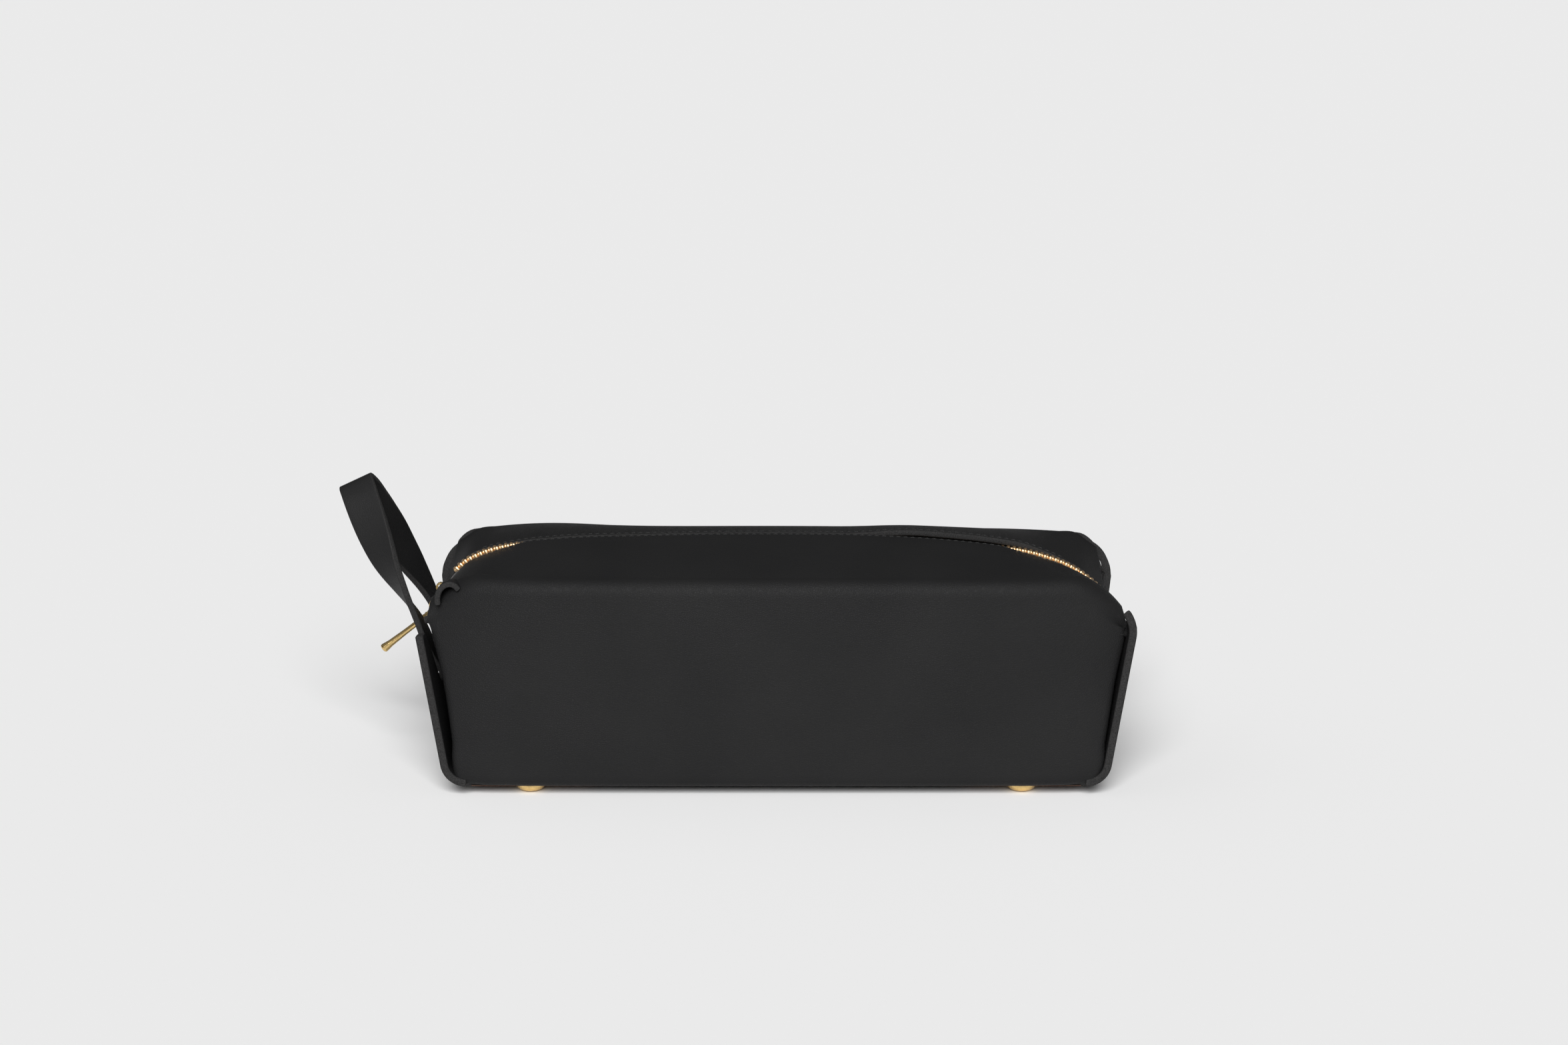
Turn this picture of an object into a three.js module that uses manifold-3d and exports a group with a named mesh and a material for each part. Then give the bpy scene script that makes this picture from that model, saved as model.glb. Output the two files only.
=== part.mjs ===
// Zipped leather makeup bag with a wrist loop, in millimetres, +Z up.
// The origin ends up at the middle of the bounding box, on the surface the feet stand on.
import * as THREE from 'three';
import { mergeVertices } from 'three/addons/utils/BufferGeometryUtils.js';
import Module from 'manifold-3d';

const wasm = await Module();
wasm.setup();

// ---------- driving dimensions ----------
const GAP = 0.35;               // clearance between parts that touch
const LEATHER = 2.8;            // body and end panel leather
const HALF_DEPTH = 46.5;        // front and back faces from the middle
const UNDERSIDE_Z = 3.6;        // underside of the leather, standing on its feet
const EDGE_RADIUS = 5;          // long lower edges
const SHOULDER_RADIUS = 7.5;    // long upper edges
const SHOULDER_Z = 69;          // where the upright walls start to turn over
const TOP_SLOPE = 13 * Math.PI / 180;
const TURN_IN = { depth: 2.5, length: 16, foot: 12, fadeFrom: 62, fadeLength: 10 };  // ends of the faces

const RAIL = { radius: 560, x: -10, top: 85.4 };        // the arch of the closed zip between the flaps
const TRAVEL = { radius: 357, x: 5, top: 85.5 };        // the arc that carries the slider from end to end
const FLAP_END = 104;           // half length of the two opening flaps
const SLOT = 5.0;               // from the middle to each leather edge along the zip

const FLAP_TAIL = { creaseX: 115.5, creaseZ: 71, lipX: 121.4, lipZ: 60.6 };  // low ends of the fixed flap pieces

const PANEL = { half: 46, bendX: 109.2, bendZ: 12.6, bendRadius: 9, lean: 9.1, top: 57.5, start: 106 };
const SCOOP = { depth: 21, flat: 26, slope: 14 };       // dip in the panel's upper edge, for the strap and the pull
const HORN = { width: 9, radius: 13, sweep: 62, plainSweep: 1.2 };
const GUSSET = { low: 11, high: 62, thickness: 1, shallow: 3, deep: 13, valleyY: 31 };

const STRAP = { width: 13, thickness: 2.2, legY: 19, bottom: 24, pocketTop: 33 };
const FOOT = { x: 87, y: 37, radius: 5.6, shank: 1.5, hole: 1.9 };
const BOARD = { half: 98, depth: 40, thickness: 1.6 };
const LINING = { half: 100, depth: 42.2, thickness: 0.8, top: 66, notchHalf: 8, notchZ: 54 };
const TAPE = { thickness: 0.7, outer: 9.5 };
const TEETH = { height: 2.4, width: 1.5, pitch: 6.3 };
const SLIDER = { x: -117, tilt: 38, length: 8.4, half: 3.6, height: 4.6, channel: 2.6, channelHeight: 2.6 };
const BAIL = { along: -3.2, up: 3.3, radius: 1.8, hole: 1.1, width: 1.6 };  // from the slider's middle, in its tilt
const LINK = { endX: -122.6, endZ: 57.3, radius: 2.2, wire: 0.6, slack: 0.35 };
const PULL = { tipX: -143.2, tipZ: 41.4, eye: 2.9, eyeWire: 0.65 };

const BLACK = 0x262627;
const LINING_GREY = 0x3a3a3c;
const TAPE_BLACK = 0x1d1d1e;
const BOARD_BROWN = 0x6b5a45;
const GOLD = 0xd6ad63;

// ---------- small helpers ----------
const lerp = THREE.MathUtils.lerp;
const smooth = (value) => THREE.MathUtils.smoothstep(value, 0, 1);
const radians = THREE.MathUtils.degToRad;

// Straight-line interpolation through a short list of [key, value] points.
function through(points, key) {
  const next = points.findIndex((point) => point[0] >= key);
  if (next === 0) return points[0][1];
  if (next < 0) return points[points.length - 1][1];
  const [k0, v0] = points[next - 1];
  const [k1, v1] = points[next];
  return lerp(v0, v1, (key - k0) / (k1 - k0));
}

// Turns every face outwards, so mirrored shapes need no care of their own.
function outward(geometry) {
  const position = geometry.getAttribute('position');
  const index = geometry.getIndex();
  const a = new THREE.Vector3();
  const b = new THREE.Vector3();
  const c = new THREE.Vector3();
  let volume = 0;
  for (let i = 0; i < index.count; i += 3) {
    a.fromBufferAttribute(position, index.getX(i));
    b.fromBufferAttribute(position, index.getX(i + 1));
    c.fromBufferAttribute(position, index.getX(i + 2));
    volume += a.dot(b.cross(c));
  }
  if (volume < 0) {
    for (let i = 0; i < index.count; i += 3) {
      const kept = index.getX(i);
      index.setX(i, index.getX(i + 1));
      index.setX(i + 1, kept);
    }
  }
  return geometry;
}

// A closed sheet between two faces, each given as a function of (u, v) from 0 to 1.
function sheet(columns, rows, outer, inner) {
  const positions = [];
  const index = [];
  for (const face of [outer, inner]) {
    for (let j = 0; j <= rows; j++) {
      for (let i = 0; i <= columns; i++) positions.push(...face(i / columns, j / rows).toArray());
    }
  }
  const side = (columns + 1) * (rows + 1);
  const at = (face, i, j) => face * side + j * (columns + 1) + i;
  const quad = (a, b, c, d) => index.push(a, b, c, a, c, d);
  for (let j = 0; j < rows; j++) {
    for (let i = 0; i < columns; i++) {
      quad(at(0, i, j), at(0, i + 1, j), at(0, i + 1, j + 1), at(0, i, j + 1));
      quad(at(1, i, j), at(1, i, j + 1), at(1, i + 1, j + 1), at(1, i + 1, j));
    }
  }
  for (let i = 0; i < columns; i++) {
    quad(at(1, i, 0), at(1, i + 1, 0), at(0, i + 1, 0), at(0, i, 0));
    quad(at(0, i, rows), at(0, i + 1, rows), at(1, i + 1, rows), at(1, i, rows));
  }
  for (let j = 0; j < rows; j++) {
    quad(at(0, 0, j), at(0, 0, j + 1), at(1, 0, j + 1), at(1, 0, j));
    quad(at(1, columns, j), at(1, columns, j + 1), at(0, columns, j + 1), at(0, columns, j));
  }
  const geometry = new THREE.BufferGeometry();
  geometry.setAttribute('position', new THREE.Float32BufferAttribute(positions, 3));
  geometry.setIndex(index);
  return outward(geometry);
}

// Stations along a path of lines and arcs: point and outward normal, more of them round the arcs.
function stations(path, lineStep = 14, arcStep = 24) {
  const found = [];
  for (const curve of path.curves) {
    const isArc = curve instanceof THREE.EllipseCurve;
    const turn = isArc ? THREE.MathUtils.radToDeg(Math.abs(curve.aEndAngle - curve.aStartAngle)) : 0;
    const steps = Math.max(1, Math.round(isArc ? turn / arcStep : curve.getLength() / lineStep));
    for (let i = found.length ? 1 : 0; i <= steps; i++) {
      const point = curve.getPoint(i / steps);
      const tangent = curve.getTangent(i / steps);
      found.push({ point, normal: new THREE.Vector2(tangent.y, -tangent.x) });
    }
  }
  return found;
}

// Moves a polyline sideways by a distance, with mitred corners.
function offsetPolyline(points, distance) {
  const normals = points.slice(1).map((point, i) => {
    const along = point.clone().sub(points[i]).normalize();
    return new THREE.Vector2(along.y, -along.x);
  });
  return points.map((point, i) => {
    const before = normals[Math.max(0, i - 1)];
    const after = normals[Math.min(normals.length - 1, i)];
    const mitre = before.clone().add(after).normalize();
    return point.clone().addScaledVector(mitre, distance / mitre.dot(after));
  });
}

function toManifold(geometry) {
  const plain = geometry.clone();
  plain.deleteAttribute('normal');
  plain.deleteAttribute('uv');
  const merged = mergeVertices(plain, 1e-4);
  return new wasm.Manifold(new wasm.Mesh({
    numProp: 3,
    vertProperties: new Float32Array(merged.getAttribute('position').array),
    triVerts: new Uint32Array(merged.getIndex().array),
  }));
}

function fromManifold(solid) {
  const mesh = solid.getMesh();
  const geometry = new THREE.BufferGeometry();
  geometry.setAttribute('position', new THREE.BufferAttribute(new Float32Array(mesh.vertProperties), 3));
  geometry.setIndex(new THREE.BufferAttribute(new Uint32Array(mesh.triVerts), 1));
  return geometry;
}

const joined = (geometries) => fromManifold(geometries.map(toManifold).reduce((a, b) => a.add(b)));
const cut = (geometry, cutters) => fromManifold(
  cutters.map(toManifold).reduce((solid, cutter) => solid.subtract(cutter), toManifold(geometry)));

// A copy mirrored to either side: sx and sy are 1 or -1.
function mirrored(geometry, sx, sy) {
  const copy = geometry.clone();
  copy.scale(sx, sy, 1);
  return outward(copy);
}

// A cylinder that stands on z.
function post(radius, height, z, sides = 12) {
  const geometry = new THREE.CylinderGeometry(radius, radius, height, sides);
  geometry.rotateX(Math.PI / 2);
  geometry.translate(0, 0, z + height / 2);
  return geometry;
}

const bag = new THREE.Group();

function add(name, geometry, color, roughness, metalness = 0, parent = bag) {
  const material = new THREE.MeshStandardMaterial({ color, roughness, metalness });
  const mesh = new THREE.Mesh(geometry, material);
  mesh.name = name;
  parent.add(mesh);
  return mesh;
}

// ---------- shared outlines ----------
const railZ = (x) => RAIL.top - (x - RAIL.x) ** 2 / (2 * RAIL.radius);
const sides = [['left', -1], ['right', 1]];
const faces = [['front', -1], ['back', 1]];

// Half length of the front and back faces at each height.
const faceHalfLength = (z) => through(
  [[UNDERSIDE_Z, 105.4], [6.8, 105.4], [8.6, 111.5], [20, 113.6], [60, 118.6], [66, 116.8], [71, 113.6], [77, 110]], z);

// The end panel's outer line, seen from the front: under the bag, round the bend, up and in at the horns.
const lean = radians(PANEL.lean);
const bendEnd = new THREE.Vector2(
  PANEL.bendX + PANEL.bendRadius * Math.cos(lean), PANEL.bendZ - PANEL.bendRadius * Math.sin(lean));
const panelX = (z) => bendEnd.x + (z - bendEnd.y) * Math.tan(lean);

// ---------- leather body: front wall, bottom and back wall in one piece ----------
function wrapPath() {
  const wall = HALF_DEPTH;
  const low = UNDERSIDE_Z + EDGE_RADIUS;
  const endAngle = Math.PI / 2 + TOP_SLOPE;
  const path = new THREE.Path();
  path.absarc(-wall + SHOULDER_RADIUS, SHOULDER_Z, SHOULDER_RADIUS, endAngle, Math.PI);
  path.lineTo(-wall, low);
  path.absarc(-wall + EDGE_RADIUS, low, EDGE_RADIUS, Math.PI, 1.5 * Math.PI);
  path.lineTo(wall - EDGE_RADIUS, UNDERSIDE_Z);
  path.absarc(wall - EDGE_RADIUS, low, EDGE_RADIUS, 1.5 * Math.PI, 2 * Math.PI);
  path.lineTo(wall, SHOULDER_Z);
  path.absarc(wall - SHOULDER_RADIUS, SHOULDER_Z, SHOULDER_RADIUS, 0, Math.PI - endAngle);
  return path;
}

function wrapSheet(columns) {
  const line = stations(wrapPath(), 20, 26);
  const rows = line.length - 1;
  const face = (depth) => (u, v) => {
    const { point, normal } = line[Math.round(v * rows)];
    const half = faceHalfLength(point.y);
    const x = -half * Math.cos(Math.PI * u);
    const y = point.x - normal.x * depth;
    const turnIn = TURN_IN.depth * smooth((Math.abs(x) - half + TURN_IN.length) / TURN_IN.length);
    const upright = smooth((point.y - UNDERSIDE_Z) / TURN_IN.foot)
      * (1 - smooth((point.y - TURN_IN.fadeFrom) / TURN_IN.fadeLength));
    return new THREE.Vector3(x, y - Math.sign(point.x) * turnIn * upright, point.y - normal.y * depth);
  };
  return sheet(columns, rows, face(0), face(LEATHER));
}

const footPlaces = faces.flatMap(([face, sy]) => sides.map(([side, sx]) => ({
  name: `${face}_${side}`, x: sx * FOOT.x, y: sy * FOOT.y })));

function placed(geometry, x, y, z = 0) {
  const copy = geometry.clone();
  copy.translate(x, y, z);
  return copy;
}

const shankHoles = footPlaces.map(({ x, y }) => placed(post(FOOT.hole, 30, -5), x, y));
add('body_wrap', cut(wrapSheet(14), shankHoles), BLACK, 0.62);

// ---------- top flaps, hinged on the shoulders ----------
const creaseY = HALF_DEPTH - SHOULDER_RADIUS + SHOULDER_RADIUS * Math.sin(TOP_SLOPE);
const creaseZ = SHOULDER_Z + SHOULDER_RADIUS * Math.cos(TOP_SLOPE);
const flapStart = creaseY - GAP;
const flapDown = new THREE.Vector3(0, -Math.tan(TOP_SLOPE), -1).normalize();

function flapPoint(x, s) {
  return new THREE.Vector3(x, lerp(flapStart, SLOT, s), lerp(creaseZ + 0.08, railZ(x) + 0.5, s));
}

function flap(sy) {
  const outer = (u, v) => flapPoint(lerp(-FLAP_END, FLAP_END, u), v);
  const inner = (u, v) => outer(u, v).addScaledVector(flapDown, LEATHER * lerp(1, 0.75, v));
  return mirrored(sheet(14, 2, outer, inner), 1, sy);
}

for (const [name, sy] of faces) add(`top_flap_${name}`, flap(sy), BLACK, 0.62);

// ---------- fixed ends of the flaps, running down to the end panels ----------
function flapEndPiece(sx, sy) {
  const startX = FLAP_END + GAP;
  const path = (s, t) => {
    const startZ = flapPoint(sx * startX, s).z;
    const end = new THREE.Vector2(
      lerp(FLAP_TAIL.creaseX, FLAP_TAIL.lipX, smooth(s)), lerp(FLAP_TAIL.creaseZ, FLAP_TAIL.lipZ, smooth(s)));
    const bend = new THREE.Vector2(lerp(startX, end.x, 0.78), lerp(startZ, end.y, 0.2));
    return new THREE.QuadraticBezierCurve(new THREE.Vector2(startX, startZ), bend, end).getPoint(t);
  };
  const outer = (u, v) => {
    const point = path(v, u);
    return new THREE.Vector3(point.x, lerp(flapStart, SLOT + 0.6, v), point.y);
  };
  const inner = (u, v) => outer(u, v).add(new THREE.Vector3(-1.5 * u, -0.6, -2.3 + 0.9 * u));
  return mirrored(sheet(6, 5, outer, inner), sx, sy);
}

for (const [side, sx] of sides) {
  for (const [face, sy] of faces) add(`flap_end_${face}_${side}`, flapEndPiece(sx, sy), BLACK, 0.62);
}

// ---------- end panels: bent up from under the bag, scooped in the middle, with horns at the corners ----------
function panelPath() {
  const path = new THREE.Path();
  path.moveTo(PANEL.start, UNDERSIDE_Z);
  path.absarc(PANEL.bendX, PANEL.bendZ, PANEL.bendRadius, -Math.PI / 2, -lean);
  path.lineTo(panelX(PANEL.top), PANEL.top);
  return path;
}

function hornPoint(angle) {
  const centreX = panelX(PANEL.top) - HORN.radius * Math.cos(lean);
  const centreZ = PANEL.top + HORN.radius * Math.sin(lean);
  return new THREE.Vector2(
    centreX + HORN.radius * Math.cos(angle - lean), centreZ + HORN.radius * Math.sin(angle - lean));
}

function endPanel(sx) {
  const line = stations(panelPath(), 16, 20);
  const hornRows = 3;
  const rows = line.length - 1 + hornRows;
  const face = (depth) => (u, v) => {
    const y = lerp(-PANEL.half, PANEL.half, (1 - Math.cos(Math.PI * u)) / 2);
    const scoop = SCOOP.depth * (1 - smooth((Math.abs(y) - SCOOP.flat) / SCOOP.slope));
    const row = Math.round(v * rows);
    const level = row - (line.length - 1);
    if (level <= 0) {
      const { point, normal } = line[row];
      const lowered = scoop * Math.max(0, point.y - bendEnd.y) / (PANEL.top - bendEnd.y);
      return new THREE.Vector3(
        point.x - normal.x * depth - lowered * Math.tan(lean), y, point.y - normal.y * depth - lowered);
    }
    const height = smooth((Math.abs(y) - PANEL.half + HORN.width) / HORN.width);
    const angle = radians(lerp(HORN.plainSweep, HORN.sweep, height)) * level / hornRows;
    const point = hornPoint(angle);
    const normal = new THREE.Vector2(Math.cos(angle - lean), Math.sin(angle - lean));
    return new THREE.Vector3(
      point.x - normal.x * depth - scoop * Math.tan(lean), y, point.y - normal.y * depth - scoop);
  };
  return mirrored(sheet(20, rows, face(0), face(LEATHER)), sx, 1);
}

for (const [side, sx] of sides) add(`end_panel_${side}`, endPanel(sx), BLACK, 0.6);

// ---------- gussets: folds tucked between the faces and the end panels ----------
function gusset(sx, sy) {
  const fold = (z) => {
    const rise = smooth((z - GUSSET.low) / (GUSSET.high - GUSSET.low));
    const deep = lerp(GUSSET.shallow, GUSSET.deep, rise);
    const atFace = new THREE.Vector2(faceHalfLength(z) - 1.5, 40.4);
    const valley = new THREE.Vector2(faceHalfLength(z) - 3 - deep, GUSSET.valleyY);
    const atPanel = new THREE.Vector2(panelX(z) - LEATHER - 3.6, 38);
    return [atFace, valley, atPanel];
  };
  const face = (distance) => (u, v) => {
    const z = lerp(GUSSET.low, GUSSET.high, v);
    const point = offsetPolyline(fold(z), distance)[Math.round(u * 2)];
    return new THREE.Vector3(point.x, point.y, z);
  };
  return mirrored(sheet(2, 4, face(0), face(-GUSSET.thickness)), sx, sy);
}

for (const [side, sx] of sides) {
  for (const [face, sy] of faces) add(`gusset_${face}_${side}`, gusset(sx, sy), BLACK, 0.75);
}

// ---------- stiffener board, its washers and the metal feet ----------
const boardZ = UNDERSIDE_Z + LEATHER + GAP;
const board = new THREE.BoxGeometry(2 * BOARD.half, 2 * BOARD.depth, BOARD.thickness);
board.translate(0, 0, boardZ + BOARD.thickness / 2);
add('base_board', cut(board, shankHoles), BOARD_BROWN, 0.9);

function footStud() {
  const profile = new THREE.Path();
  const top = UNDERSIDE_Z - GAP;
  profile.moveTo(0, 0);
  profile.lineTo(2.4, 0);
  profile.quadraticCurveTo(FOOT.radius - 0.4, 0.3, FOOT.radius, top - 0.6);
  profile.lineTo(FOOT.radius, top);
  profile.lineTo(FOOT.shank, top);
  profile.lineTo(FOOT.shank, boardZ + BOARD.thickness + 1.6);
  profile.lineTo(0, boardZ + BOARD.thickness + 1.6);
  return new THREE.LatheGeometry(profile.getPoints(3), 14).rotateX(Math.PI / 2);
}

function footWasher() {
  const z = boardZ + BOARD.thickness + GAP;
  const ring = [[FOOT.hole, z], [4.6, z], [4.6, z + 0.8], [FOOT.hole, z + 0.8], [FOOT.hole, z]];
  return new THREE.LatheGeometry(ring.map(([r, h]) => new THREE.Vector2(r, h)), 14).rotateX(Math.PI / 2);
}

for (const { name, x, y } of footPlaces) {
  add(`foot_${name}`, placed(footStud(), x, y), GOLD, 0.3, 1);
  add(`foot_washer_${name}`, placed(footWasher(), x, y), GOLD, 0.4, 1);
}

// ---------- lining: an open trough just inside the leather ----------
function lining() {
  const floor = boardZ + BOARD.thickness + 2.2;
  const height = LINING.top - floor;
  const shell = new THREE.BoxGeometry(2 * LINING.half, 2 * LINING.depth, height);
  shell.translate(0, 0, floor + height / 2);
  const hollow = new THREE.BoxGeometry(
    2 * (LINING.half - LINING.thickness), 2 * (LINING.depth - LINING.thickness), height);
  hollow.translate(0, 0, floor + height / 2 + LINING.thickness);
  const notch = new THREE.BoxGeometry(3 * LINING.half, 2 * LINING.notchHalf, height);
  notch.translate(0, 0, LINING.notchZ + height / 2);
  return cut(shell, [hollow, notch]);
}

add('lining', lining(), LINING_GREY, 0.9);

// ---------- zip: tapes and teeth on the flaps, tails at the ends ----------
function tape(sy) {
  const point = (drop) => (u, v) => {
    const x = lerp(-FLAP_END, FLAP_END, u);
    const y = lerp(TAPE.outer, 2.2, v);
    return new THREE.Vector3(x, y, railZ(x) - lerp(3.4, 0.9, v) - drop);
  };
  return mirrored(sheet(14, 1, point(0), point(TAPE.thickness)), 1, sy);
}

function teethRow(sy) {
  const teeth = Math.round(2 * FLAP_END / TEETH.pitch);
  const columns = 4 * teeth;
  const along = (u) => {
    const step = Math.round(u * columns);
    const place = Math.floor(step / 4) + [0, 0.02, 0.5, 0.52][step % 4];
    return { x: -FLAP_END + place * 2 * FLAP_END / teeth, out: [1, 2].includes(step % 4) };
  };
  const point = (drop) => (u, v) => {
    const { x, out } = along(u);
    const inner = out ? 0.25 : 0.25 + TEETH.width * 0.7;
    return new THREE.Vector3(x, lerp(0.25 + TEETH.width, inner, v), railZ(x) + TEETH.height / 2 - drop);
  };
  return mirrored(sheet(columns, 1, point(0), point(TEETH.height)), 1, sy);
}

for (const [name, sy] of faces) {
  add(`zip_tape_${name}`, tape(sy), TAPE_BLACK, 0.9);
  add(`zip_teeth_${name}`, teethRow(sy), GOLD, 0.35, 1);
}

// Beyond each end of the opening the closed zip turns down towards the end panel.
function zipTail(sx, straightTo, endX, endZ) {
  const end = new THREE.Vector2(endX, endZ);
  const bendZ = railZ(sx * straightTo) - 0.5;
  const drop = new THREE.QuadraticBezierCurve(
    new THREE.Vector2(straightTo, bendZ), new THREE.Vector2(lerp(straightTo, end.x, 0.7), bendZ - 1.5), end);
  const line = (t) => {
    const x = lerp(FLAP_END + GAP, straightTo, Math.min(1, 2 * t));
    return t <= 0.5 ? new THREE.Vector2(x, railZ(sx * x) - 0.5) : drop.getPoint(2 * t - 1);
  };
  const face = (lift) => (u, v) => {
    const point = line(u);
    return new THREE.Vector3(point.x - lift * u, lerp(-2.1, 2.1, v), point.y - lift);
  };
  return mirrored(sheet(10, 1, face(0), face(1.1)), sx, 1);
}

add('zip_tail_left', zipTail(-1, 106, 112.4, 73.4), GOLD, 0.4, 1);
add('zip_tail_right', zipTail(1, 108, 122.2, 60.9), GOLD, 0.4, 1);

// ---------- slider, link and pull ----------
const tilt = radians(SLIDER.tilt);
const sliderZ = TRAVEL.top - TRAVEL.radius + Math.sqrt(TRAVEL.radius ** 2 - (SLIDER.x - TRAVEL.x) ** 2);
const bailX = SLIDER.x + BAIL.along * Math.cos(tilt) - BAIL.up * Math.sin(tilt);
const bailZ = sliderZ + BAIL.along * Math.sin(tilt) + BAIL.up * Math.cos(tilt);

function sliderBody() {
  const outline = new THREE.Shape();
  const half = SLIDER.length / 2;
  outline.moveTo(half, -SLIDER.half + 0.8);
  outline.lineTo(half, SLIDER.half - 0.8);
  outline.lineTo(0, SLIDER.half);
  outline.quadraticCurveTo(-half, SLIDER.half - 0.6, -half, 0);
  outline.quadraticCurveTo(-half, -SLIDER.half + 0.6, 0, -SLIDER.half);
  const block = new THREE.ExtrudeGeometry(outline, { depth: SLIDER.height, bevelEnabled: false, curveSegments: 4 });
  block.translate(0, 0, -SLIDER.height / 2);
  const channel = new THREE.BoxGeometry(4 * half, 2 * SLIDER.channel, SLIDER.channelHeight);
  return cut(block, [channel]);
}

function sliderBail() {
  const lug = new THREE.CylinderGeometry(BAIL.radius, BAIL.radius, BAIL.width, 12);
  const foot = new THREE.BoxGeometry(3, BAIL.width, 1.4);
  foot.translate(1.5, 0, -0.9);
  const eye = new THREE.CylinderGeometry(BAIL.hole, BAIL.hole, 6, 12);
  const bail = cut(joined([lug, foot]), [eye]);
  bail.translate(BAIL.along, 0, BAIL.up);
  return bail;
}

function slider() {
  const whole = joined([sliderBody(), sliderBail()]);
  whole.rotateY(-tilt);
  whole.translate(SLIDER.x, 0, sliderZ);
  return whole;
}

add('zip_slider', slider(), GOLD, 0.28, 1);

// A long wire ring: its two ends are half rings, its sides straight.
function link() {
  const dx = LINK.endX - bailX;
  const dz = LINK.endZ - bailZ;
  const straight = Math.hypot(dx, dz) - 2 * LINK.radius + 2 * LINK.slack;
  const ring = new THREE.TorusGeometry(LINK.radius, LINK.wire, 6, 16);
  const position = ring.getAttribute('position');
  for (let i = 0; i < position.count; i++) {
    const x = position.getX(i);
    if (Math.abs(x) > 1e-4) position.setX(i, x + Math.sign(x) * straight / 2);
  }
  ring.rotateY(-Math.atan2(dz, dx));
  ring.translate((bailX + LINK.endX) / 2, 0, (bailZ + LINK.endZ) / 2);
  return ring;
}

add('pull_link', link(), GOLD, 0.28, 1);

function pull() {
  const dx = PULL.tipX - LINK.endX;
  const dz = PULL.tipZ - LINK.endZ;
  const length = Math.hypot(dx, dz);
  const start = PULL.eye - 0.3;
  const profile = [[0, start], [1.0, start + 0.1], [1.35, start + 1], [1.35, start + 3], [0.95, start + 4.2],
    [0.95, length * 0.6], [1.5, length - 1.2], [1.6, length - 0.3], [1.3, length], [0, length]];
  const rod = new THREE.LatheGeometry(profile.map(([r, h]) => new THREE.Vector2(r, h)), 12);
  const eye = new THREE.TorusGeometry(PULL.eye, PULL.eyeWire, 6, 14);
  const whole = joined([rod, eye]);
  whole.rotateX(Math.PI / 2);
  whole.rotateY(Math.atan2(dx, dz));
  whole.translate(LINK.endX, 0, LINK.endZ);
  return whole;
}

add('zip_pull', pull(), GOLD, 0.25, 1);

// ---------- wrist strap: two legs that come up behind the left end panel, and the loop ----------
const strapX = (z) => -(panelX(z) - LEATHER - 0.5 - STRAP.thickness / 2);
const legLine = [[strapX(STRAP.bottom), STRAP.bottom], [strapX(STRAP.pocketTop), STRAP.pocketTop],
  [-118.3, 38.8], [-121, 42.8], [-123.7, 48], [-127.2, 56.8]].map((p) => new THREE.Vector2(...p));

function leg(sy) {
  const rows = legLine.length - 1;
  const face = (distance) => {
    const line = offsetPolyline(legLine, distance);
    return (u, v) => {
      const point = line[Math.round(v * rows)];
      return new THREE.Vector3(point.x, sy * STRAP.legY + (u - 0.5) * STRAP.width, point.y);
    };
  };
  return sheet(1, rows, face(-STRAP.thickness / 2), face(STRAP.thickness / 2));
}

for (const [name, sy] of faces) add(`strap_tab_${name}`, leg(sy), BLACK, 0.62);

const loopPoints = [[-127.9, STRAP.legY, 58.4], [-133.4, 18.5, 68], [-138.4, 16.5, 77],
  [-142.7, 13, 86], [-146.6, 8.5, 94.5], [-149.6, 3.8, 101]].map((p) => new THREE.Vector3(...p));
const loopCurve = new THREE.CatmullRomCurve3([
  ...loopPoints.map((p) => new THREE.Vector3(p.x, -p.y, p.z)),
  new THREE.Vector3(-151, 0, 103.4),
  ...loopPoints.slice().reverse()]);

function strapLoop() {
  const across = new THREE.Vector3(0.905, 0, 0.425);
  const frame = (t) => {
    const centre = loopCurve.getPointAt(t);
    const along = loopCurve.getTangentAt(t);
    const turn = Math.PI * smooth(t);
    const width = across.clone().multiplyScalar(Math.sin(turn)).add(new THREE.Vector3(0, -Math.cos(turn), 0));
    width.addScaledVector(along, -width.dot(along)).normalize();
    return { centre, width, normal: along.clone().cross(width) };
  };
  const face = (depth) => (u, v) => {
    const { centre, width, normal } = frame(v);
    return centre.clone().addScaledVector(width, (u - 0.5) * STRAP.width).addScaledVector(normal, depth);
  };
  return sheet(2, 32, face(STRAP.thickness / 2), face(-STRAP.thickness / 2));
}

add('wrist_strap', strapLoop(), BLACK, 0.62);

// ---------- whole bag, moved so that the origin is under the middle of its box ----------
bag.updateMatrixWorld(true);
const box = new THREE.Box3().setFromObject(bag, true);
bag.position.set(-(box.min.x + box.max.x) / 2, -(box.min.y + box.max.y) / 2, 0);

export default bag;
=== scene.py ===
import math

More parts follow.
